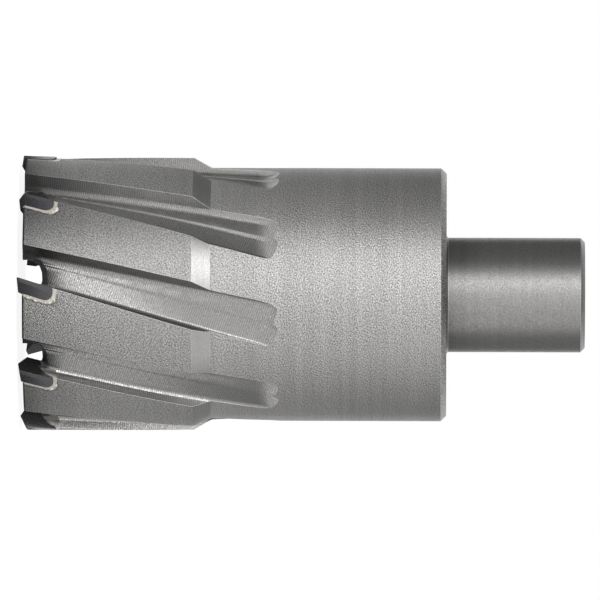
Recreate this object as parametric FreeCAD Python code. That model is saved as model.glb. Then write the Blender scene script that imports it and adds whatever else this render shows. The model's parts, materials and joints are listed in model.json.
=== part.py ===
import FreeCAD, Part
import math
import os

# A carbide-tipped annular cutter for magnetic drilling machines, in millimetres and degrees.
# It stands on its teeth: +Z points from the tips to the shank, and the origin lies on the
# axis in the plane of the foremost tips. It cuts clockwise seen from the shank.

# Cutting end
cutting_diameter = 46.0
tooth_count = 9
first_tooth_angle = 183.14
kerf_width = 4.3
cutting_depth = 55.0

# Body
insert_stand_out = 0.3
insert_stand_in = 0.3
head_end = 28.8
taper_length = 3.0
taper_drop = 1.65
cup_relief = 2.3
cup_corner_bevel = 1.2
web_thickness = 13.5
front_face_setback = 0.9
front_edge_chamfer = 0.3
rear_edge_chamfer = 0.9

# Shank with two driving flats
shank_diameter = 19.05
shank_length = 23.0
shank_root_bevel = 0.3
shank_end_chamfer = 0.7
flat_length = 11.4
flat_depth = 1.6
flat_offset = 6.3
flat_angles = (45.0, 135.0)
pilot_diameter = 8.0
pilot_mouth_chamfer = 0.5

# Flutes: one form milled twice, with two leads that part towards the rear
flute_form_angle = 14.2
flute_width_angle = 14.78
flute_depth = 2.5
flute_back_wall_lean = 20.0
flute_back_corner_radius = 1.15
flute_front_corner_radius = 0.85
first_pass_twist = 0.571
second_pass_twist = 0.7626
run_out_start = 39.5
run_out_radius = 8.5
run_out_length = 4.9

# Milled corners of the flutes and gullets are cut in this many facets
corner_facets = 3

# Gullets through the wall, ahead of each tooth
gullet_width = 3.15
gullet_depth = 5.0
gullet_slope = 36.0
gullet_far_radius = 2.1
gullet_near_radius = 0.9

# Carbide inserts and their seats
insert_thickness = 2.4
insert_height = 5.95
insert_heel_radius = 1.2
insert_toe_radius = 0.3
margin_width = 0.7
radial_relief_angle = 9.0
front_clearance_angle = 6.0
solder_gap = 0.6
solder_gap_at_front = 0.35
solder_gap_ahead = 0.42

# The three grinds that follow one another round the cutter: how far the tip lies in from the
# cutting circle and behind the foremost tips, and how steeply the edge falls to each side
grinds = (
    {"tip_inset": 1.8, "tip_setback": 0.12, "outer_fall": 9.0, "inner_fall": 29.0},
    {"tip_inset": 1.8, "tip_setback": 0.12, "outer_fall": 25.0, "inner_fall": 31.0},
    {"tip_inset": 1.1, "tip_setback": 0.0, "outer_fall": 14.5, "inner_fall": 24.0},
)

# Values that follow
cutting_radius = cutting_diameter / 2
core_radius = cutting_radius - kerf_width
head_radius = cutting_radius - insert_stand_out
rear_radius = head_radius - taper_drop
cup_radius = core_radius + insert_stand_in
shank_radius = shank_diameter / 2
pilot_radius = pilot_diameter / 2
taper_end = head_end + taper_length
cup_floor = cutting_depth + cup_relief
shoulder = cup_floor + web_thickness
shank_end = shoulder + shank_length
flat_start = shoulder + flat_offset
flat_end = flat_start + flat_length
tooth_pitch = 360.0 / tooth_count
floor_radius = head_radius - flute_depth
insert_slant = math.tan(math.radians(second_pass_twist)) * cutting_radius
insert_middle = insert_height / 2
tip_offset = -insert_slant * insert_middle

# How far cutting tools reach past the surfaces that they cut
overshoot = 1.5

axis_point = FreeCAD.Vector(0, 0, 0)
axis_direction = FreeCAD.Vector(0, 0, 1)


def turned(shape, angle):
    """A copy of a shape, turned about the axis."""
    copy = shape.copy()
    copy.rotate(axis_point, axis_direction, angle)
    return copy


def round_the_axis(shape):
    """One copy of a shape for each tooth, the first of them at the first tooth."""
    return [turned(shape, first_tooth_angle + tooth_pitch * i) for i in range(tooth_count)]


def turned_point(out, along, height, angle):
    """A point at a distance out from the axis and a distance along the turn, turned by an angle in radians."""
    return FreeCAD.Vector(
        out * math.cos(angle) - along * math.sin(angle),
        out * math.sin(angle) + along * math.cos(angle),
        height,
    )


def corner_arc(before, point, after, radius):
    """The start, centre and end of the arc that rounds a corner between two other points."""
    back = (before - point).normalize()
    on = (after - point).normalize()
    half_angle = back.getAngle(on) / 2
    setback = radius / math.tan(half_angle)
    centre = point + (back + on).normalize() * (radius / math.sin(half_angle))
    return point + back * setback, centre, point + on * setback


def rounded_outline(corners):
    """A closed wire through corners given as (point, radius), each rounded by an arc."""
    edges = []
    starts = []
    ends = []
    for i, (point, radius) in enumerate(corners):
        if radius == 0:
            starts.append(point)
            ends.append(point)
            continue
        after = corners[(i + 1) % len(corners)][0]
        start, centre, end = corner_arc(corners[i - 1][0], point, after, radius)
        middle = centre + (point - centre).normalize() * radius
        edges.append(Part.Arc(start, middle, end).toShape())
        starts.append(start)
        ends.append(end)
    for i in range(len(corners)):
        edges.append(Part.makeLine(ends[i - 1], starts[i]))
    return Part.Wire(Part.__sortEdges__(edges))


def facets(start, centre, end):
    """Points that part an arc into equal facets, its ends among them."""
    spoke = start - centre
    sweep = math.degrees(spoke.getAngle(end - centre))
    normal = spoke.cross(end - centre)
    points = []
    for i in range(corner_facets + 1):
        turn = FreeCAD.Rotation(normal, sweep * i / corner_facets)
        points.append(centre + turn.multVec(spoke))
    return points


def faceted_outline(corners):
    """A closed wire through corners given as (point, radius), each rounded in facets."""
    points = []
    for i, (point, radius) in enumerate(corners):
        if radius == 0:
            points.append(point)
            continue
        after = corners[(i + 1) % len(corners)][0]
        points += facets(*corner_arc(corners[i - 1][0], point, after, radius))
    return Part.makePolygon(points + points[:1])


def turned_blank():
    """The body and shank in one piece, with the cup and the pilot bore, as they leave the lathe."""

    def at(radius, height):
        return FreeCAD.Vector(radius, 0, height)

    def line(start, end):
        return Part.makeLine(at(*start), at(*end))

    front_outer = head_radius - front_edge_chamfer
    root = shank_radius + shank_root_bevel
    root_top = shoulder + shank_root_bevel
    chamfered = shank_end - shank_end_chamfer
    mouth = pilot_radius + pilot_mouth_chamfer
    cup_flat = cup_radius - cup_corner_bevel
    cup_wall_end = cup_floor - cup_corner_bevel
    edges = [
        line((cup_radius, front_face_setback), (front_outer, front_face_setback)),
        line((front_outer, front_face_setback), (head_radius, front_face_setback + front_edge_chamfer)),
        line((head_radius, front_face_setback + front_edge_chamfer), (head_radius, head_end)),
        line((head_radius, head_end), (rear_radius, taper_end)),
        line((rear_radius, taper_end), (rear_radius, shoulder - rear_edge_chamfer)),
        line((rear_radius, shoulder - rear_edge_chamfer), (rear_radius - rear_edge_chamfer, shoulder)),
        line((rear_radius - rear_edge_chamfer, shoulder), (root, shoulder)),
        line((root, shoulder), (shank_radius, root_top)),
        line((shank_radius, root_top), (shank_radius, flat_start)),
        line((shank_radius, flat_start), (shank_radius, flat_end)),
        line((shank_radius, flat_end), (shank_radius, chamfered)),
        line((shank_radius, chamfered), (shank_radius - shank_end_chamfer, shank_end)),
        line((shank_radius - shank_end_chamfer, shank_end), (mouth, shank_end)),
        line((mouth, shank_end), (pilot_radius, shank_end - pilot_mouth_chamfer)),
        line((pilot_radius, shank_end - pilot_mouth_chamfer), (pilot_radius, cup_floor + pilot_mouth_chamfer)),
        line((pilot_radius, cup_floor + pilot_mouth_chamfer), (mouth, cup_floor)),
        line((mouth, cup_floor), (cup_flat, cup_floor)),
        line((cup_flat, cup_floor), (cup_radius, cup_wall_end)),
        line((cup_radius, cup_wall_end), (cup_radius, front_face_setback)),
    ]
    return Part.Face(Part.Wire(edges)).revolve(axis_point, axis_direction, 360)


def driving_flats():
    """The blocks that mill the two flats, which the clamping screws of the arbor bear on."""
    block = Part.makeBox(
        flat_depth + overshoot,
        shank_diameter,
        flat_length,
        FreeCAD.Vector(shank_radius - flat_depth, -shank_radius, flat_start),
    )
    return [turned(block, angle) for angle in flat_angles]


def flute_section(height, lift):
    """The outline of both passes at one height, raised off the floor by a lift.

    Each pass has a flat floor, a leaning back wall and a front wall, with rounded corners.
    The second pass has turned further, so its back corner leaves a step in the first one's floor.
    """
    floor = floor_radius + lift
    wall_top = head_radius + overshoot + lift
    lean = math.radians(flute_back_wall_lean)
    form = math.radians(flute_form_angle)
    first_angle = math.radians(first_pass_twist * height - flute_width_angle)
    second_angle = math.radians(second_pass_twist * height - flute_form_angle)

    def first(out, along):
        return turned_point(out, along, height, first_angle)

    def second(out, along):
        return turned_point(out, along, height, second_angle)

    back_foot = flute_depth * math.tan(lean)
    back_end = back_foot + flute_back_corner_radius * math.tan((math.pi / 2 - lean) / 2)

    # The step starts where the second pass's back corner meets the first pass's floor
    step_centre = second(floor + flute_back_corner_radius, back_end)
    offset = first(floor, 0) - step_centre
    reach = offset.dot(first(0, 1) - first(0, 0))
    half_chord = math.sqrt(reach ** 2 - offset.dot(offset) + flute_back_corner_radius ** 2)
    step_top = first(floor, -reach - half_chord)
    step = facets(step_top, step_centre, second(floor, back_end))

    back = [
        (first(wall_top, (head_radius + lift - wall_top) * math.tan(lean)), 0),
        (first(floor, back_foot), flute_back_corner_radius),
    ]
    front = [
        (second(floor, floor * math.tan(form)), flute_front_corner_radius),
        (second(wall_top, wall_top * math.tan(form)), 0),
    ]
    return faceted_outline(back + [(point, 0) for point in step] + front)


def flute():
    """A flute ahead of a tooth at angle zero: along both leads, then out on the milling cutter's radius."""
    # Stations crowd together where the milling cutter starts to leave the body
    straight_shares = (0, 0.25, 0.5, 0.74, 0.89, 0.965, 1)
    run_out_shares = (0.25, 0.5, 0.75, 1)
    heights = [run_out_start * share for share in straight_shares]
    heights += [run_out_start + run_out_length * share for share in run_out_shares]
    sections = []
    for height in heights:
        travel = max(0.0, height - run_out_start)
        lift = run_out_radius - math.sqrt(run_out_radius ** 2 - travel ** 2)
        sections.append(flute_section(height, lift))
    ruled = False
    closed = False
    degree = 3
    return Part.makeLoft(sections, True, ruled, closed, degree)


def seat_point(along, height):
    """A point in the plane that side outlines of a tooth are drawn in: along the turn, and up."""
    return FreeCAD.Vector(0, along, height)


def through_wall(outline, inner, outer, rise):
    """A side outline carried out through the wall from one radius to another, rising as it goes."""
    start = inner - floor_radius
    prism = Part.Face(outline).extrude(FreeCAD.Vector(outer - inner, 0, (outer - inner) * rise))
    prism.translate(FreeCAD.Vector(inner, 0, start * rise))
    prism.rotate(axis_point, axis_direction, second_pass_twist * insert_middle)
    return prism


def slanted(height, shift):
    """A point on a line parallel to the rake face, at a height and a shift behind that face."""
    return seat_point(insert_slant * (height - insert_middle) + shift, height)


def gullet():
    """The notch through the wall ahead of a tooth, deeper outside so that chips leave outwards."""
    far_side = tip_offset - gullet_width
    inside_seat = insert_thickness / 2
    corners = [
        (seat_point(far_side, -overshoot), 0),
        (seat_point(far_side, gullet_depth), gullet_far_radius),
        (slanted(gullet_depth, 0), gullet_near_radius),
        (slanted(gullet_depth - 2 * gullet_near_radius, 0), 0),
        (slanted(gullet_depth - 2 * gullet_near_radius, inside_seat), 0),
        (slanted(-overshoot, inside_seat), 0),
    ]
    rise = math.tan(math.radians(gullet_slope))
    return through_wall(faceted_outline(corners), core_radius - overshoot, head_radius + overshoot, rise)


def seat():
    """The slot that an insert is brazed into, with room for the solder round it."""
    top = insert_height + solder_gap
    corners = [
        (slanted(-overshoot, -solder_gap_ahead), 0),
        (slanted(top, -solder_gap_ahead), insert_toe_radius + solder_gap / 2),
        (slanted(top, insert_thickness + solder_gap), insert_heel_radius + solder_gap),
        (slanted(0, insert_thickness + solder_gap_at_front), 0),
        (slanted(-overshoot, insert_thickness + solder_gap_at_front), 0),
    ]
    return through_wall(rounded_outline(corners), core_radius - overshoot, head_radius + overshoot, 0)


def insert_plate():
    """An insert before its front is ground: a slanted plate between the core and cutting circles."""
    corners = [
        (slanted(-overshoot, 0), 0),
        (slanted(insert_height, 0), insert_toe_radius),
        (slanted(insert_height, insert_thickness), insert_heel_radius),
        (slanted(-overshoot, insert_thickness), 0),
    ]
    plate = through_wall(rounded_outline(corners), core_radius, cutting_radius + overshoot, 0)
    plate = plate.common(Part.makeCylinder(cutting_radius, insert_height + 2 * overshoot, seat_point(0, -2 * overshoot)))
    return plate.cut(radial_relief())


def radial_relief():
    """What is ground off behind the margin on the outside of an insert."""
    start = tip_offset + margin_width
    reach = insert_thickness + insert_slant * (insert_height + 2 * overshoot)
    fall = math.tan(math.radians(radial_relief_angle)) + margin_width / cutting_radius
    block_height = insert_height + 4 * overshoot
    corners = [
        FreeCAD.Vector(cutting_radius, start, -2 * overshoot),
        FreeCAD.Vector(cutting_radius - reach * fall, start + reach, -2 * overshoot),
        FreeCAD.Vector(cutting_radius + overshoot, start + reach, -2 * overshoot),
        FreeCAD.Vector(cutting_radius + overshoot, start, -2 * overshoot),
    ]
    outline = Part.makePolygon(corners + corners[:1])
    slant = FreeCAD.Vector(0, insert_slant * block_height, block_height)
    block = Part.Face(outline).extrude(slant)
    block.translate(seat_point(-2 * overshoot * insert_slant, 0))
    block.rotate(axis_point, axis_direction, second_pass_twist * insert_middle)
    return block


def front_grind(grind):
    """What is ground off the front of an insert, down to its tip and the slopes on both sides."""
    tip = cutting_radius - grind["tip_inset"]
    level = grind["tip_setback"]
    inner = core_radius - overshoot
    outer = cutting_radius + overshoot
    low = -4 * overshoot
    corners = [
        FreeCAD.Vector(inner, 0, low),
        FreeCAD.Vector(outer, 0, low),
        FreeCAD.Vector(outer, 0, level + (outer - tip) * math.tan(math.radians(grind["outer_fall"]))),
        FreeCAD.Vector(tip, 0, level),
        FreeCAD.Vector(inner, 0, level + (tip - inner) * math.tan(math.radians(grind["inner_fall"]))),
    ]
    outline = Part.makePolygon(corners + corners[:1])
    reach = insert_thickness + 2 * overshoot
    clearance = math.tan(math.radians(front_clearance_angle))
    block = Part.Face(outline).extrude(FreeCAD.Vector(0, reach, reach * clearance))
    block.translate(seat_point(tip_offset - overshoot, -overshoot * clearance))
    block.rotate(axis_point, axis_direction, second_pass_twist * insert_middle)
    return block


def write(name, shape):
    shape.exportStep("parts/" + name + ".step")


os.makedirs("parts", exist_ok=True)

blank = turned_blank().cut(driving_flats())
fluted = blank.cut(round_the_axis(flute()))
notched = fluted.cut(round_the_axis(gullet()))
seats = round_the_axis(seat())
write("cutter_body", notched.cut(seats))

plate = insert_plate()
solder = turned(seats[0].common(notched), -first_tooth_angle).cut(plate)
for number, seam in enumerate(round_the_axis(solder), start=1):
    write("braze_" + str(number), seam)

for number in range(1, tooth_count + 1):
    grind = grinds[(number - 1) % len(grinds)]
    insert = plate.cut(front_grind(grind))
    write("tooth_" + str(number), turned(insert, first_tooth_angle + tooth_pitch * (number - 1)))
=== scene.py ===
import json
import math

import bmesh
import bpy
from mathutils import Matrix, Quaternion, Vector


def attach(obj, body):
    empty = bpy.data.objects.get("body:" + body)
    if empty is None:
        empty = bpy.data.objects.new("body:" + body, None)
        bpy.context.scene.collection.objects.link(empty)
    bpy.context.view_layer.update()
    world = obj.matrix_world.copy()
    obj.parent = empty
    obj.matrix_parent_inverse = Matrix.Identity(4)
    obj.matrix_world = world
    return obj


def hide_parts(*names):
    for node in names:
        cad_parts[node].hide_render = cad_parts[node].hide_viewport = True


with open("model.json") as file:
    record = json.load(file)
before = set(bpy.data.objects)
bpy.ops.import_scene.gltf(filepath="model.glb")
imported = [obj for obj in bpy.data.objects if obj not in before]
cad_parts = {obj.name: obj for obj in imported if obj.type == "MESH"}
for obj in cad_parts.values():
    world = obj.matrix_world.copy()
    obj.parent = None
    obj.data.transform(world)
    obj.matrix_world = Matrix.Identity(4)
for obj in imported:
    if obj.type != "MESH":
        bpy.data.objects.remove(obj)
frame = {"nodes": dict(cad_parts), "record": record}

bl_info = {
    "name": "Annular cutter finish",
    "version": (1, 0, 0),
    "blender": (4, 5, 0),
    "location": "View3D > Sidebar > Cutter",
    "description": "Finishes of a carbide-tipped annular cutter, and the studio that it is shown in",
    "category": "Object",
}

MM = 0.001

# Edges that turn by less than this are shaded smoothly
SMOOTH_ANGLE = math.radians(36)
# How far a vertex may lie off a turned surface, and past its ends, and still belong to it
OFF_SURFACE = 0.006 * MM
PAST_END = 0.01 * MM
# Vertices closer than this are one, and edges shorter than this are dropped
MERGE_DISTANCE = 0.0005 * MM
SHORTEST_EDGE = 0.0002 * MM
# Room left when a face is told by its height or its distance from the axis
FACE_ROOM = 0.1 * MM
# The rear body's chamfer reaches this far down from the shoulder, with room to spare
CHAMFER_REACH = 1.5 * MM
# Noise seldom leaves this span, which is stretched to what a pattern needs
NOISE_LOW, NOISE_HIGH = 0.3, 0.7
# Colours that no setting changes
# Pale steel that the painted highlight along broken edges goes towards
EDGE_HIGHLIGHT_STEEL = "#F2F1EF"
FLOOR_PAINT = "#FAFAFA"
# Width of the camera's sensor, in millimetres
SENSOR_WIDTH = 36
# The floor lies this far under the tips' plane, and the card on it this far above that plane
FLOOR_DROP = 0.02 * MM
FLOOR_CARD_LIFT = 0.01 * MM

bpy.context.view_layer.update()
nodes = frame["nodes"]
tooth_names = sorted(name for name in nodes if name.startswith("tooth_"))
seam_names = sorted(name for name in nodes if name.startswith("braze_"))


def mount_radius(name):
    """The radius of one of the part's mounts, in metres."""
    mount = next(m for m in frame["record"]["mounts"] if m["name"] == name)
    return mount["dims"]["r_mm"] * MM


def linear(code):
    """An sRGB hex colour as linear red, green and blue."""
    values = [int(code[i:i + 2], 16) / 255 for i in (1, 3, 5)]
    return [v / 12.92 if v <= 0.04045 else ((v + 0.055) / 1.055) ** 2.4 for v in values]


def per(size):
    """The scale that gives a pattern on Object coordinates a size in metres."""
    return 1 / size


# ---- Settings


class CutterSizes(bpy.types.PropertyGroup):
    """Where the turned surfaces of the body lie, which tells each finish its place"""

    head_radius: bpy.props.FloatProperty(
        name="Head radius", description="Radius of the lands between the flutes",
        default=22.7 * MM, subtype="DISTANCE", unit="LENGTH", precision=5)
    rear_radius: bpy.props.FloatProperty(
        name="Rear radius", description="Radius of the plain body behind the head",
        default=21.05 * MM, subtype="DISTANCE", unit="LENGTH", precision=5)
    head_end: bpy.props.FloatProperty(
        name="Head end", description="Height at which the taper starts",
        default=28.8 * MM, subtype="DISTANCE", unit="LENGTH", precision=5)
    taper_end: bpy.props.FloatProperty(
        name="Taper end", description="Height at which the taper meets the plain body",
        default=31.8 * MM, subtype="DISTANCE", unit="LENGTH", precision=5)
    front_face: bpy.props.FloatProperty(
        name="Front face", description="Height of the body's front face above the foremost tips",
        default=0.9 * MM, subtype="DISTANCE", unit="LENGTH", precision=5)
    cup_radius: bpy.props.FloatProperty(
        name="Cup radius", description="Radius of the slug cup",
        default=19.0 * MM, subtype="DISTANCE", unit="LENGTH", precision=5)
    shoulder: bpy.props.FloatProperty(
        name="Shoulder", description="Height of the flat ring that the shank stands on",
        default=70.8 * MM, subtype="DISTANCE", unit="LENGTH", precision=5)
    edge_break: bpy.props.FloatProperty(
        name="Edge break", description="Radius that blasting leaves on the sharp edges",
        default=0.10 * MM, subtype="DISTANCE", unit="LENGTH", precision=5)
    seat_lean: bpy.props.FloatProperty(
        name="Seat lean", description="How far the insert seats lean round the body",
        default=math.radians(18), subtype="ANGLE", unit="ROTATION")
    seat_middle: bpy.props.FloatProperty(
        name="Seat middle",
        description="How far round the land a seat's middle line lies where it meets the floor",
        default=1.347 * MM, subtype="DISTANCE", unit="LENGTH", precision=5)
    seat_half: bpy.props.FloatProperty(
        name="Seat half width", description="From a seat's middle line to its sides",
        default=1.355 * MM, subtype="DISTANCE", unit="LENGTH", precision=5)
    seat_top: bpy.props.FloatProperty(
        name="Seat top", description="Height of the far end of the insert seats",
        default=6.55 * MM, subtype="DISTANCE", unit="LENGTH", precision=5)
    seat_corner: bpy.props.FloatProperty(
        name="Seat corner", description="Radius of the seats' far corners",
        default=1.5 * MM, subtype="DISTANCE", unit="LENGTH", precision=5)
    solder_spread: bpy.props.FloatProperty(
        name="Solder spread", description="How far the solder ran out over the steel round the seats",
        default=0.17 * MM, subtype="DISTANCE", unit="LENGTH", precision=5)


class CutterFinish(bpy.types.PropertyGroup):
    """Colours and sheen of the cutter's materials"""

    steel: bpy.props.FloatVectorProperty(
        name="Tool steel", description="Colour of the blasted and turned steel",
        default=linear("#9E9D9C"), size=3, min=0, max=1, subtype="COLOR")
    carbide: bpy.props.FloatVectorProperty(
        name="Carbide", description="Colour of the ground carbide inserts",
        default=linear("#545356"), size=3, min=0, max=1, subtype="COLOR")
    solder: bpy.props.FloatVectorProperty(
        name="Silver solder", description="Colour of the solder round the inserts",
        default=linear("#B9B6AE"), size=3, min=0, max=1, subtype="COLOR")
    steel_roughness: bpy.props.FloatProperty(
        name="Steel roughness", description="How widely the blasted steel spreads its highlight",
        default=0.40, min=0, max=1, subtype="FACTOR")


class CutterStudio(bpy.types.PropertyGroup):
    """Camera, lamps and cards of the studio"""

    distance: bpy.props.FloatProperty(
        name="Distance", description="From the camera to the cutter's axis",
        default=2.0, min=0.1, subtype="DISTANCE", unit="LENGTH")
    elevation: bpy.props.FloatProperty(
        name="Elevation", description="How far the camera stands above the aim, towards the shank",
        default=math.radians(0.78), subtype="ANGLE", unit="ROTATION")
    aim_height: bpy.props.FloatProperty(
        name="Aim height", description="Height on the cutter that is in the middle of the picture",
        default=46.42 * MM, subtype="DISTANCE", unit="LENGTH", precision=5)
    aim_side: bpy.props.FloatProperty(
        name="Aim side", description="How far beside the axis the camera aims",
        default=0.94 * MM, subtype="DISTANCE", unit="LENGTH", precision=5)
    frame_width: bpy.props.FloatProperty(
        name="Frame width", description="What the picture takes in from side to side at the axis",
        default=99.9 * MM, subtype="DISTANCE", unit="LENGTH", precision=5)
    roll: bpy.props.FloatProperty(
        name="Roll", description="How far the cutter lies out of the level in the picture",
        default=math.radians(0.17), subtype="ANGLE", unit="ROTATION")
    key_angle: bpy.props.FloatProperty(
        name="Key angle", description="How far round from the camera the softbox stands",
        default=math.radians(22), subtype="ANGLE", unit="ROTATION")
    key_power: bpy.props.FloatProperty(
        name="Key power", description="Power of the softbox",
        default=5.8, min=0, subtype="POWER", unit="POWER")
    card_level: bpy.props.FloatProperty(
        name="Card level", description="Brightness of the grey cards round the cutter",
        default=0.25, min=0, max=1, subtype="FACTOR")


# ---- Materials


def add_node(tree, kind, inputs=None, **settings):
    """Adds a node, with its settings and what its sockets hold or are linked to."""
    made = tree.nodes.new(kind)
    for name, value in settings.items():
        setattr(made, name, value)
    for name, value in (inputs or {}).items():
        if isinstance(value, bpy.types.NodeSocket):
            tree.links.new(value, made.inputs[name])
        else:
            made.inputs[name].default_value = value
    return made


def new_material(name):
    """An empty material with its output, and its Object coordinates."""
    material = bpy.data.materials.new(name)
    material.use_nodes = True
    tree = material.node_tree
    tree.nodes.clear()
    output = add_node(tree, "ShaderNodeOutputMaterial")
    place = add_node(tree, "ShaderNodeTexCoord").outputs["Object"]
    return material, tree, output, place


def unrolled(tree, place, radius):
    """The surface rolled out flat: way round the axis, height and depth. It parts at the back."""
    parts = add_node(tree, "ShaderNodeSeparateXYZ", {0: place})
    back_x = add_node(tree, "ShaderNodeMath", {0: parts.outputs["X"], 1: -1.0}, operation="MULTIPLY")
    back_y = add_node(tree, "ShaderNodeMath", {0: parts.outputs["Y"], 1: -1.0}, operation="MULTIPLY")
    angle = add_node(tree, "ShaderNodeMath", {
        0: back_x.outputs[0], 1: back_y.outputs[0]}, operation="ARCTAN2")
    round_way = add_node(tree, "ShaderNodeMath", {0: angle.outputs[0], 1: radius}, operation="MULTIPLY")
    across = add_node(tree, "ShaderNodeVectorMath", {0: place, 1: (1, 1, 0)}, operation="MULTIPLY")
    depth = add_node(tree, "ShaderNodeVectorMath", {0: across.outputs[0]}, operation="LENGTH")
    return add_node(tree, "ShaderNodeCombineXYZ", {
        "X": round_way.outputs[0], "Y": parts.outputs["Z"], "Z": depth.outputs["Value"]}).outputs[0]


def mixed_colour(tree, base, light, dark, factor):
    """A base colour varied between a darker and a lighter share of itself by a pattern."""
    ramp = add_node(tree, "ShaderNodeMix", {0: factor}, data_type="RGBA")
    ramp.inputs[6].default_value = [c * dark for c in base] + [1]
    ramp.inputs[7].default_value = [min(1, c * light) for c in base] + [1]
    return ramp.outputs[2]


def grit_pattern(tree, vector, size, stretch, slant, seed):
    """Fine grit, drawn out along one way of the surface and slanted, from dark pits to bright peaks."""
    turned = add_node(tree, "ShaderNodeMapping", {
        "Vector": vector,
        "Location": (seed * 10 * MM, seed * 7 * MM, seed * 3 * MM),
        "Rotation": (0, 0, slant),
        "Scale": (size * stretch, size, size),
    }, vector_type="TEXTURE")
    return add_node(tree, "ShaderNodeTexNoise", {
        "Vector": turned.outputs[0], "Scale": 1.0, "Detail": 2.0, "Roughness": 0.55,
    }, noise_dimensions="3D").outputs["Fac"]


def broken_edge(tree, radius):
    """The normal over finely broken edges, and how strongly a painted highlight lightens each point along
    them.
    """
    rounded = add_node(tree, "ShaderNodeBevel", {"Radius": radius * 0.4}, samples=6).outputs[0]
    highlight_bevel = add_node(tree, "ShaderNodeBevel", {"Radius": radius}, samples=8).outputs[0]
    # The painted highlight band starts where the bevel turns the normal by 4 degrees, and is full at 18
    normal = add_node(tree, "ShaderNodeNewGeometry").outputs["Normal"]
    along = add_node(tree, "ShaderNodeVectorMath", {0: highlight_bevel, 1: normal}, operation="DOT_PRODUCT")
    edge_highlight = add_node(tree, "ShaderNodeMapRange", {
        0: along.outputs["Value"], 1: 0.997, 2: 0.95, 3: 0.0, 4: 0.75})
    return rounded, edge_highlight.outputs[0]


def solder_film(tree, place, flat, sizes):
    """Where solder ran out over the steel round the slanted insert seats, which are spaced evenly.

    Returns how much of the steel it hides, how far it swells and how dark a rim round it is: partly flux
    stain, partly painted shade at the bead's foot.
    """
    seats = len(tooth_names)
    half_pitch = math.pi / seats * sizes.head_radius
    parts = add_node(tree, "ShaderNodeSeparateXYZ", {0: flat})
    pitched = add_node(tree, "ShaderNodeMath", {
        0: parts.outputs["X"], 1: half_pitch, 2: -half_pitch}, operation="WRAP")
    local = add_node(tree, "ShaderNodeCombineXYZ", {"X": pitched.outputs[0], "Y": parts.outputs["Y"]})
    lean = (math.cos(sizes.seat_lean), math.sin(sizes.seat_lean), 0)
    across = add_node(tree, "ShaderNodeVectorMath", {
        0: local.outputs[0], 1: lean}, operation="DOT_PRODUCT")
    middle = sizes.seat_middle * lean[0]
    offset = add_node(tree, "ShaderNodeMath", {
        0: across.outputs["Value"], 1: middle}, operation="SUBTRACT")
    aside = add_node(tree, "ShaderNodeMath", {0: offset.outputs[0]}, operation="ABSOLUTE")
    reach = add_node(tree, "ShaderNodeCombineXYZ", {"X": aside.outputs[0], "Y": parts.outputs["Y"]})
    corner = sizes.seat_corner
    past = add_node(tree, "ShaderNodeVectorMath", {
        0: reach.outputs[0], 1: (sizes.seat_half - corner, sizes.seat_top - corner, 0),
    }, operation="SUBTRACT")
    past = add_node(tree, "ShaderNodeVectorMath", {0: past.outputs[0], 1: (0, 0, 0)}, operation="MAXIMUM")
    far = add_node(tree, "ShaderNodeVectorMath", {0: past.outputs[0]}, operation="LENGTH")
    wander = add_node(tree, "ShaderNodeTexNoise", {
        "Vector": place, "Scale": per(0.7 * MM), "Detail": 2.0})
    spread = add_node(tree, "ShaderNodeMapRange", {
        0: wander.outputs["Fac"], 1: NOISE_LOW, 2: NOISE_HIGH,
        3: corner, 4: corner + 2 * sizes.solder_spread})
    inside = add_node(tree, "ShaderNodeMath", {
        0: spread.outputs[0], 1: far.outputs["Value"]}, operation="SUBTRACT")
    film = add_node(tree, "ShaderNodeMapRange", {
        0: inside.outputs[0], 1: -0.02 * MM, 2: 0.02 * MM, 3: 0.0, 4: 1.0})
    rise = add_node(tree, "ShaderNodeMapRange", {
        0: inside.outputs[0], 1: 0.0, 2: 0.2 * MM, 3: 0.0, 4: 1.0,
    }, interpolation_type="SMOOTHSTEP")
    lumps = add_node(tree, "ShaderNodeTexNoise", {
        "Vector": place, "Scale": per(0.3 * MM), "Detail": 2.0})
    swell = add_node(tree, "ShaderNodeMath", {
        0: rise.outputs[0], 1: lumps.outputs["Fac"]}, operation="MULTIPLY")
    near = add_node(tree, "ShaderNodeMapRange", {
        0: inside.outputs[0], 1: -0.22 * MM, 2: -0.02 * MM, 3: 0.0, 4: 1.0,
    }, interpolation_type="SMOOTHSTEP")
    return film.outputs[0], swell.outputs[0], near.outputs[0]


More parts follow.
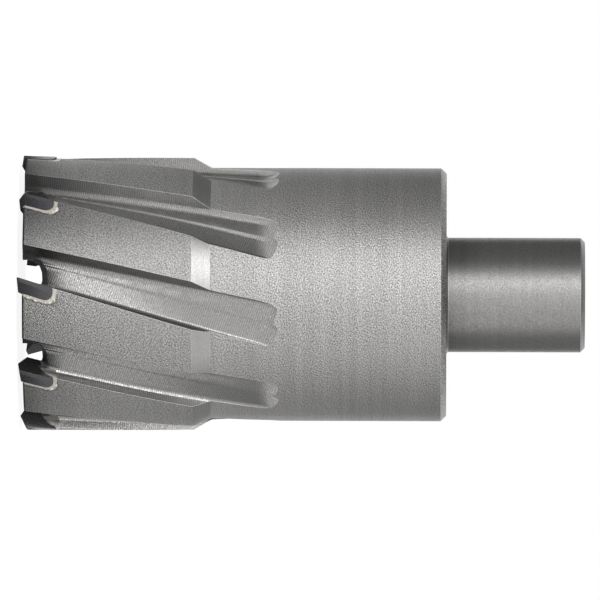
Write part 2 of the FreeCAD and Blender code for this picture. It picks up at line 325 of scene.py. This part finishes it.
def satin_steel(name, settings, edge, radius, grit, stretch, slant, contrast, bump, roughness,
                tone, bands=0.05, marks=0.0, soldered=None):
    """Tool steel with a fine worked surface, over its own Object coordinates.

    Grit is the grain's size, which stretch draws out along a line slanted from the way round the axis.
    Contrast and bump say how strongly it shows in colour and in relief, and tone how bright the steel
    is. Bands are faint rings round the axis, marks the pitch of a milling cutter's lines, and soldered
    the sizes of the seats that solder ran out of.
    """
    material, tree, output, place = new_material(name)
    flat = unrolled(tree, place, radius)
    grain = grit_pattern(tree, flat, grit, stretch, slant, seed=3.0)
    ring = grit_pattern(tree, flat, size=1.1 * MM, stretch=40, slant=0.0, seed=9.0)
    centred = add_node(tree, "ShaderNodeMapRange", {
        0: grain, 1: NOISE_LOW, 2: NOISE_HIGH, 3: 0.0, 4: 1.0,
    }).outputs[0]
    base = [c * tone for c in settings.steel]
    speckled = mixed_colour(tree, base, 1 + contrast, 1 - contrast, centred)
    faint = add_node(tree, "ShaderNodeMapRange", {
        0: ring, 1: NOISE_LOW, 2: NOISE_HIGH, 3: 1 - bands, 4: 1 + bands,
    }).outputs[0]
    height = grain
    if marks:
        lines = add_node(tree, "ShaderNodeMapping", {"Vector": flat, "Rotation": (0, 0, -slant)})
        wave = add_node(tree, "ShaderNodeTexWave", {
            "Vector": lines.outputs[0], "Scale": math.pi / 10 * per(marks),
            "Distortion": 1.5, "Detail": 2.0, "Detail Scale": 0.6,
        }, bands_direction="Y").outputs["Fac"]
        faint = add_node(tree, "ShaderNodeMath", {
            0: wave, 1: 0.36, 2: 0.81}, operation="MULTIPLY_ADD").outputs[0]
        height = add_node(tree, "ShaderNodeMath", {
            0: wave, 1: 0.5, 2: grain}, operation="MULTIPLY_ADD").outputs[0]
    scaled = add_node(tree, "ShaderNodeVectorMath", {0: speckled, 3: faint}, operation="SCALE")
    rough = add_node(tree, "ShaderNodeMapRange", {
        0: grain, 1: NOISE_LOW, 2: NOISE_HIGH, 3: roughness + 0.12, 4: roughness - 0.12,
    }).outputs[0]
    broken, edge_highlight = broken_edge(tree, edge)
    # Painted highlight: the steel's colour is lightened towards a pale steel along its broken edges
    bright = add_node(tree, "ShaderNodeMix", {
        0: edge_highlight, 6: scaled.outputs[0], 7: linear(EDGE_HIGHLIGHT_STEEL) + [1]}, data_type="RGBA")
    relief = add_node(tree, "ShaderNodeBump", {
        "Strength": bump, "Distance": 0.09 * MM, "Height": height, "Normal": broken,
    })
    shader = add_node(tree, "ShaderNodeBsdfPrincipled", {
        "Metallic": 1.0, "Base Color": bright.outputs[2], "Roughness": rough, "Normal": relief.outputs[0],
    })
    if soldered:
        film, swell, near = solder_film(tree, place, flat, soldered)
        # Darker rim round the solder film: partly flux stain, partly painted shade where the bead meets
        # the steel
        flux_and_shade_rim = add_node(tree, "ShaderNodeMapRange", {0: near, 3: 1.0, 4: 0.35})
        rimmed = add_node(tree, "ShaderNodeVectorMath", {
            0: bright.outputs[2], 3: flux_and_shade_rim.outputs[0]}, operation="SCALE")
        # Painted glints: the solder's colour is lightened up to 1.7 times on the tops of its lumps and
        # darkened between them
        painted_glint = add_node(tree, "ShaderNodeMapRange", {0: swell, 1: 0.35, 2: 0.58, 3: 0.5, 4: 1.7})
        metal = add_node(tree, "ShaderNodeVectorMath", {
            0: settings.solder, 3: painted_glint.outputs[0]}, operation="SCALE")
        bead = add_node(tree, "ShaderNodeBump", {
            "Strength": 1.0, "Distance": 0.3 * MM, "Height": swell, "Normal": relief.outputs[0]})
        tree.links.new(bead.outputs[0], shader.inputs["Normal"])
        pale = add_node(tree, "ShaderNodeMix", {
            0: film, 6: rimmed.outputs[0], 7: metal.outputs[0]}, data_type="RGBA")
        dull = add_node(tree, "ShaderNodeMapRange", {0: film, 3: 1.0, 4: 0.35})
        tree.links.new(pale.outputs[2], shader.inputs["Base Color"])
        tree.links.new(dull.outputs[0], shader.inputs["Metallic"])
    tree.links.new(shader.outputs[0], output.inputs["Surface"])
    return material


def ground_carbide(settings, edge):
    """Sintered tungsten carbide, wheel-ground: dark grey, smooth, with fine parallel scratches."""
    material, tree, output, place = new_material("ground_tungsten_carbide")
    scratch = grit_pattern(tree, place, size=0.12 * MM, stretch=12, slant=0.4, seed=5.0)
    colour = mixed_colour(tree, settings.carbide, 1.06, 0.94, scratch)
    rough = add_node(tree, "ShaderNodeMapRange", {
        0: scratch, 1: NOISE_LOW, 2: NOISE_HIGH, 3: 0.30, 4: 0.20,
    }).outputs[0]
    broken = add_node(tree, "ShaderNodeBevel", {"Radius": edge}, samples=6)
    relief = add_node(tree, "ShaderNodeBump", {
        "Strength": 0.15, "Distance": 0.01 * MM, "Height": scratch, "Normal": broken.outputs[0],
    })
    shader = add_node(tree, "ShaderNodeBsdfPrincipled", {
        "Metallic": 0.82, "Base Color": colour, "Roughness": rough, "Normal": relief.outputs[0],
    })
    tree.links.new(shader.outputs[0], output.inputs["Surface"])
    return material


def flowed_solder(settings, edge, radius):
    """Silver solder as it set: pale, bright and slightly lumpy, and darker deep in the seam, partly from
    flux stain and partly as painted shade.
    """
    material, tree, output, place = new_material("flowed_silver_solder")
    lumps = add_node(tree, "ShaderNodeTexNoise", {
        "Vector": place, "Scale": per(0.6 * MM), "Detail": 2.0,
    }).outputs["Fac"]
    colour = mixed_colour(tree, settings.solder, 1.08, 0.8, lumps)
    level = add_node(tree, "ShaderNodeVectorMath", {0: place, 1: (1, 1, 0)}, operation="MULTIPLY")
    out = add_node(tree, "ShaderNodeVectorMath", {0: level.outputs[0]}, operation="LENGTH")
    # Darker towards the bottom of the seam: partly flux stain, partly painted shade in the recess
    stain_and_shade = add_node(tree, "ShaderNodeMapRange", {
        0: out.outputs["Value"], 1: radius - 1.1 * MM, 2: radius - 0.25 * MM, 3: 0.22, 4: 1.0})
    stained_and_shaded = add_node(tree, "ShaderNodeVectorMath", {0: colour, 3: stain_and_shade.outputs[0]}, operation="SCALE")
    broken = add_node(tree, "ShaderNodeBevel", {"Radius": edge}, samples=6)
    relief = add_node(tree, "ShaderNodeBump", {
        "Strength": 0.6, "Distance": 0.15 * MM, "Height": lumps, "Normal": broken.outputs[0],
    })
    shader = add_node(tree, "ShaderNodeBsdfPrincipled", {
        "Metallic": 0.35, "Base Color": stained_and_shaded.outputs[0], "Roughness": 0.42,
        "Normal": relief.outputs[0],
    })
    tree.links.new(shader.outputs[0], output.inputs["Surface"])
    return material


# ---- Pieces


def body_profile(sizes):
    """The turned outside and inside of the body as stretches of (radius, height) pairs."""
    return {
        "land": ((sizes.head_radius, sizes.front_face), (sizes.head_radius, sizes.head_end)),
        "taper": ((sizes.head_radius, sizes.head_end), (sizes.rear_radius, sizes.taper_end)),
        "rear": ((sizes.rear_radius, sizes.taper_end), (sizes.rear_radius, sizes.shoulder)),
        "cup": ((sizes.cup_radius, 0.0), (sizes.cup_radius, sizes.shoulder)),
        "shank": ((mount_radius("shank"), sizes.shoulder), (mount_radius("shank"), 1.0)),
        "pilot": ((mount_radius("pilot_bore"), 0.0), (mount_radius("pilot_bore"), 1.0)),
    }


def on_stretch(points, stretch):
    """Whether points all lie on a turned surface that runs between two (radius, height) pairs."""
    (r0, z0), (r1, z1) = stretch
    length = math.hypot(r1 - r0, z1 - z0)
    for point in points:
        r = math.hypot(point.x, point.y)
        off = ((r - r0) * (z1 - z0) - (point.z - z0) * (r1 - r0)) / length
        if abs(off) > OFF_SURFACE or not z0 - PAST_END <= point.z <= z1 + PAST_END:
            return False
    return True


def merged_copy(name):
    """A copy of a CAD node with its loose triangles joined into one skin."""
    mesh = nodes[name].data.copy()
    copy = bpy.data.objects.new(name + "_finished", mesh)
    bpy.context.scene.collection.objects.link(copy)
    mesh.materials.clear()
    skin = bmesh.new()
    skin.from_mesh(mesh)
    bmesh.ops.remove_doubles(skin, verts=skin.verts, dist=MERGE_DISTANCE)
    bmesh.ops.dissolve_degenerate(skin, edges=skin.edges, dist=SHORTEST_EDGE)
    skin.to_mesh(mesh)
    skin.free()
    return copy


def turned_as(mesh, face, profile):
    """The name of the turned surface that a face belongs to, or nothing where it was milled."""
    points = [mesh.vertices[i].co for i in face.vertices]
    return next((name for name, stretch in profile.items() if on_stretch(points, stretch)), "")


def true_normals(piece, profile):
    """Shades smoothly, with the turned surfaces as round as the lathe made them."""
    mesh = piece.data
    mesh.shade_smooth()
    mesh.set_sharp_from_angle(angle=SMOOTH_ANGLE)
    turned = [turned_as(mesh, face, profile) for face in mesh.polygons]
    # What a milling cutter cut ends in a crisp line, however shallow it runs out
    sides = {}
    for face in mesh.polygons:
        for key in face.edge_keys:
            sides.setdefault(key, set()).add(turned[face.index])
    for edge in mesh.edges:
        if len(sides[edge.key]) > 1:
            edge.use_edge_sharp = True
    weigh = piece.modifiers.new("wide_faces_lead", "WEIGHTED_NORMAL")
    weigh.weight = 100
    weigh.keep_sharp = True
    weighed = piece.evaluated_get(bpy.context.evaluated_depsgraph_get())
    normals = [Vector(corner.vector) for corner in weighed.data.corner_normals]
    piece.modifiers.remove(weigh)
    for face in mesh.polygons:
        if not turned[face.index]:
            continue
        (r0, z0), (r1, z1) = profile[turned[face.index]]
        for corner, i in zip(face.loop_indices, face.vertices):
            point = mesh.vertices[i].co
            out = Vector((point.x, point.y, 0)).normalized()
            normal = (out * (z1 - z0) + Vector((0, 0, r0 - r1))).normalized()
            if normal.dot(face.normal) < 0:
                normal.negate()
            normals[corner] = normal
    mesh.normals_split_custom_set(normals)


def face_finish(mesh, face, sizes, profile):
    """How a face of the body was worked, told by where it lies."""
    points = [mesh.vertices[i].co for i in face.vertices]
    middle = face.center
    if on_stretch(points, profile["land"]):
        return "blasted"
    if on_stretch(points, profile["taper"]):
        return "fine_turned"
    if middle.z > sizes.shoulder + FACE_ROOM:
        return "ground"
    if on_stretch(points, profile["rear"]) or middle.z > sizes.shoulder - CHAMFER_REACH:
        return "turned"
    if math.hypot(middle.x, middle.y) < sizes.cup_radius + FACE_ROOM:
        return "bored"
    return "milled"


class CUTTER_OT_body(bpy.types.Operator):
    """Finish the steel body: blasted lands, turned rear and shank, milled flutes, bored cup"""

    bl_idname = "cutter.body"
    bl_label = "Finish the body"

    def execute(self, context):
        sizes = context.scene.cutter_sizes
        finish = context.scene.cutter_finish
        edge = sizes.edge_break
        body = merged_copy("cutter_body")
        profile = body_profile(sizes)
        true_normals(body, profile)
        rough = finish.steel_roughness
        finishes = {
            # Bead-blasted steel scatters light evenly in a fine sparkle, coarser here than the real grit
            "blasted": satin_steel(
                "blasted_tool_steel", finish, edge, sizes.head_radius, grit=0.18 * MM, stretch=1.3,
                slant=0.6, contrast=0.76, bump=0.85, roughness=rough, tone=0.86, soldered=sizes),
            # Turned steel, blasted over: a slanting sparkle with faint rings left by the turning tool
            "turned": satin_steel(
                "turned_tool_steel", finish, edge, sizes.rear_radius, grit=0.14 * MM, stretch=1.7,
                slant=0.4, contrast=0.95, bump=1.0, roughness=rough, tone=0.98, bands=0.07),
            # A milling cutter leaves slanting arcs across the flute
            "milled": satin_steel(
                "milled_tool_steel", finish, edge, sizes.head_radius, grit=0.14 * MM, stretch=2.5,
                slant=0.3, contrast=0.34, bump=0.16, roughness=rough - 0.06, tone=0.81,
                marks=0.36 * MM),
            # Bored steel inside the cup lies in shade and looks plain
            "bored": satin_steel(
                "bored_tool_steel", finish, edge, sizes.cup_radius, grit=0.3 * MM, stretch=5.0,
                slant=0.0, contrast=0.1, bump=0.3, roughness=rough + 0.05, tone=0.85),
            # The taper is fine-turned and shines more evenly
            "fine_turned": satin_steel(
                "fine_turned_tool_steel", finish, edge, sizes.head_radius, grit=0.14 * MM, stretch=1.5,
                slant=0.1, contrast=0.18, bump=0.2, roughness=rough - 0.05, tone=1.18),
            # The shank is ground to fit its socket, so its highlight is narrower
            "ground": satin_steel(
                "ground_tool_steel", finish, edge, mount_radius("shank"), grit=0.14 * MM, stretch=1.4,
                slant=0.4, contrast=0.32, bump=0.45, roughness=rough - 0.05, tone=0.77),
        }
        for material in finishes.values():
            body.data.materials.append(material)
        slots = list(finishes)
        for face in body.data.polygons:
            face.material_index = slots.index(face_finish(body.data, face, sizes, profile))
        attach(body, "root")
        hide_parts("cutter_body")
        return {"FINISHED"}


def dress(names, material):
    """Gives the frame's own pieces one material."""
    for name in names:
        nodes[name].data.materials.clear()
        nodes[name].data.materials.append(material)


class CUTTER_OT_inserts(bpy.types.Operator):
    """Finish the carbide inserts"""

    bl_idname = "cutter.inserts"
    bl_label = "Finish the inserts"

    def execute(self, context):
        edge = context.scene.cutter_sizes.edge_break
        dress(tooth_names, ground_carbide(context.scene.cutter_finish, edge))
        return {"FINISHED"}


class CUTTER_OT_solder(bpy.types.Operator):
    """Finish the silver solder round the inserts"""

    bl_idname = "cutter.solder"
    bl_label = "Finish the solder"

    def execute(self, context):
        sizes = context.scene.cutter_sizes
        dress(seam_names, flowed_solder(context.scene.cutter_finish, sizes.edge_break, sizes.head_radius))
        return {"FINISHED"}


# ---- Studio


def rectangle(name, width, height, centre, facing):
    """A flat rectangle with its middle at a point, facing along a direction, its height upright."""
    mesh = bpy.data.meshes.new(name)
    card = bpy.data.objects.new(name, mesh)
    bpy.context.scene.collection.objects.link(card)
    shape = bmesh.new()
    bmesh.ops.create_grid(shape, x_segments=1, y_segments=1, size=0.5)
    turn = Vector(facing).to_track_quat("Z", "Y").to_matrix().to_4x4()
    place = Matrix.Translation(centre) @ turn @ Matrix.Diagonal((width, height, 1, 1))
    bmesh.ops.transform(shape, matrix=place, verts=shape.verts)
    shape.to_mesh(mesh)
    shape.free()
    return card


def softbox(name, power, direction, distance, width, height, aim):
    """A rectangular lamp that looks at a point from a direction."""
    data = bpy.data.lights.new(name, "AREA")
    data.shape = "RECTANGLE"
    data.size = width
    data.size_y = height
    data.energy = power
    lamp = bpy.data.objects.new(name, data)
    bpy.context.scene.collection.objects.link(lamp)
    away = Vector(direction).normalized()
    turn = away.to_track_quat("Z", "Y").to_matrix().to_4x4()
    lamp.matrix_world = Matrix.Translation(aim + away * distance) @ turn


class CUTTER_OT_studio(bpy.types.Operator):
    """Set up the floor, the cards, the lamps, the surroundings and the camera"""

    bl_idname = "cutter.studio"
    bl_label = "Set up the studio"

    def execute(self, context):
        studio = context.scene.cutter_studio
        middle = Vector((0, 0, studio.aim_height))

        # Pale floor that shows white, with the cutter's soft shadow
        floor = rectangle("studio_floor", 6, 6, Vector((0, 0, -FLOOR_DROP)), (0, 0, 1))
        paint, tree, output, _ = new_material("matt_white_paint")
        rays = add_node(tree, "ShaderNodeLightPath")
        flat = add_node(tree, "ShaderNodeBsdfDiffuse", {"Color": linear(FLOOR_PAINT) + [1]})
        white = add_node(tree, "ShaderNodeEmission", {"Color": (1, 1, 1, 1), "Strength": 1.06})
        share = add_node(tree, "ShaderNodeMath", {
            0: rays.outputs["Is Camera Ray"], 1: 0.85}, operation="MULTIPLY")
        lit = add_node(tree, "ShaderNodeMixShader", {
            0: share.outputs[0], 1: flat.outputs[0], 2: white.outputs[0]})
        tree.links.new(lit.outputs[0], output.inputs["Surface"])
        floor.data.materials.append(paint)

        # Grey cards that only the steel's reflections see: two darken its flanks, one stands for the
        # dark room behind the camera, one above darkens the chamfers, and one below what faces the floor
        level = studio.card_level
        cards = (
            ("side_card_left", 0.66, 1.4, (-0.25, 0.09, 0.65), (1, 0, 0), level * 0.72),
            ("side_card_right", 0.6, 0.4, (0.25, 0.24, 0.07), (-1, 0, 0), level * 1.3),
            ("room_card", 0.13, 0.3, (0, -0.7, 0.1), (0, 1, 0), level),
            ("ceiling_card", 0.8, 0.8, (0, 0, 0.9), (0, 0, -1), level * 0.5),
            ("floor_card", 0.09, 0.09, (0, 0, FLOOR_CARD_LIFT), (0, 0, 1), level * 0.4),
        )
        for name, width, height, centre, facing, grey in cards:
            card = rectangle(name, width, height, Vector(centre), facing)
            paper, tree, output, _ = new_material(name + "_paper")
            glow = add_node(tree, "ShaderNodeEmission", {
                "Color": (grey, grey, grey, 1), "Strength": 1.0})
            tree.links.new(glow.outputs[0], output.inputs["Surface"])
            card.data.materials.append(paper)
            card.visible_camera = False
            card.visible_diffuse = False
            card.visible_shadow = False
            card.visible_transmission = False

        # One long softbox draws the bright line along the body
        key = studio.key_angle
        softbox("key_softbox", studio.key_power, (-math.sin(key), -math.cos(key), 0.0), 1.0,
                0.30, 2.4, middle + Vector((0, 0, 1.16)))
        # A square one higher up lights the taper, and a narrow one the walls of the flutes
        softbox("taper_softbox", studio.key_power * 0.44, (-0.49, -0.37, 0.79), 1.0, 0.4, 0.4, middle)
        softbox("flute_softbox", studio.key_power * 0.38, (-0.06, -0.905, 0.42), 1.0,
                0.9, 0.11, middle)

        world = bpy.data.worlds.new("white_studio")
        context.scene.world = world
        world.use_nodes = True
        tree = world.node_tree
        tree.nodes.clear()
        rays = add_node(tree, "ShaderNodeLightPath")
        seen = add_node(tree, "ShaderNodeMath", {
            0: rays.outputs["Is Camera Ray"], 1: rays.outputs["Is Transmission Ray"],
        }, operation="MAXIMUM")
        seen = add_node(tree, "ShaderNodeMath", {
            0: seen.outputs[0], 1: rays.outputs["Is Glossy Ray"]}, operation="MAXIMUM")
        backdrop = add_node(tree, "ShaderNodeBackground", {"Color": (1, 1, 1, 1), "Strength": 1.0})
        fill = add_node(tree, "ShaderNodeBackground", {"Color": (1, 1, 1, 1), "Strength": 0.95})
        mixed = add_node(tree, "ShaderNodeMixShader", {
            0: seen.outputs[0], 1: fill.outputs[0], 2: backdrop.outputs[0]})
        add_node(tree, "ShaderNodeOutputWorld", {"Surface": mixed.outputs[0]})

        # The picture's right is the cutter's +Z, and its top is -X
        data = bpy.data.cameras.new("camera")
        data.sensor_width = SENSOR_WIDTH
        data.lens = SENSOR_WIDTH * studio.distance / studio.frame_width
        data.clip_start = 0.1
        data.clip_end = 20
        camera = bpy.data.objects.new("camera", data)
        context.scene.collection.objects.link(camera)
        back = Vector((0, -math.cos(studio.elevation), math.sin(studio.elevation)))
        right = Vector((0, 0, 1))
        right = (right - back * right.dot(back)).normalized()
        right.rotate(Quaternion(back, studio.roll))
        up = back.cross(right)
        aim = Vector((studio.aim_side, 0, studio.aim_height))
        turn = Matrix((right, up, back)).transposed().to_4x4()
        camera.matrix_world = Matrix.Translation(aim + back * studio.distance) @ turn
        context.scene.camera = camera
        context.scene.view_settings.view_transform = "Standard"
        return {"FINISHED"}


class CUTTER_PT_sidebar(bpy.types.Panel):
    """Lists the settings and steps of the cutter's finish"""

    bl_label = "Annular cutter"
    bl_idname = "CUTTER_PT_sidebar"
    bl_space_type = "VIEW_3D"
    bl_region_type = "UI"
    bl_category = "Cutter"

    def draw(self, context):
        column = self.layout.column()
        for group in ("cutter_sizes", "cutter_finish", "cutter_studio"):
            settings = getattr(context.scene, group)
            for name in settings.bl_rna.properties.keys():
                if name not in ("rna_type", "name"):
                    column.prop(settings, name)
        for step in steps:
            column.operator(step.bl_idname)


steps = (CUTTER_OT_body, CUTTER_OT_inserts, CUTTER_OT_solder, CUTTER_OT_studio)
classes = (CutterSizes, CutterFinish, CutterStudio) + steps + (CUTTER_PT_sidebar,)


def register():
    for kind in classes:
        bpy.utils.register_class(kind)
    bpy.types.Scene.cutter_sizes = bpy.props.PointerProperty(type=CutterSizes)
    bpy.types.Scene.cutter_finish = bpy.props.PointerProperty(type=CutterFinish)
    bpy.types.Scene.cutter_studio = bpy.props.PointerProperty(type=CutterStudio)


def unregister():
    del bpy.types.Scene.cutter_studio
    del bpy.types.Scene.cutter_finish
    del bpy.types.Scene.cutter_sizes
    for kind in reversed(classes):
        bpy.utils.unregister_class(kind)


def main():
    register()
    bpy.ops.cutter.body()
    bpy.ops.cutter.inserts()
    bpy.ops.cutter.solder()
    bpy.ops.cutter.studio()


if __name__ == "__main__":
    main()
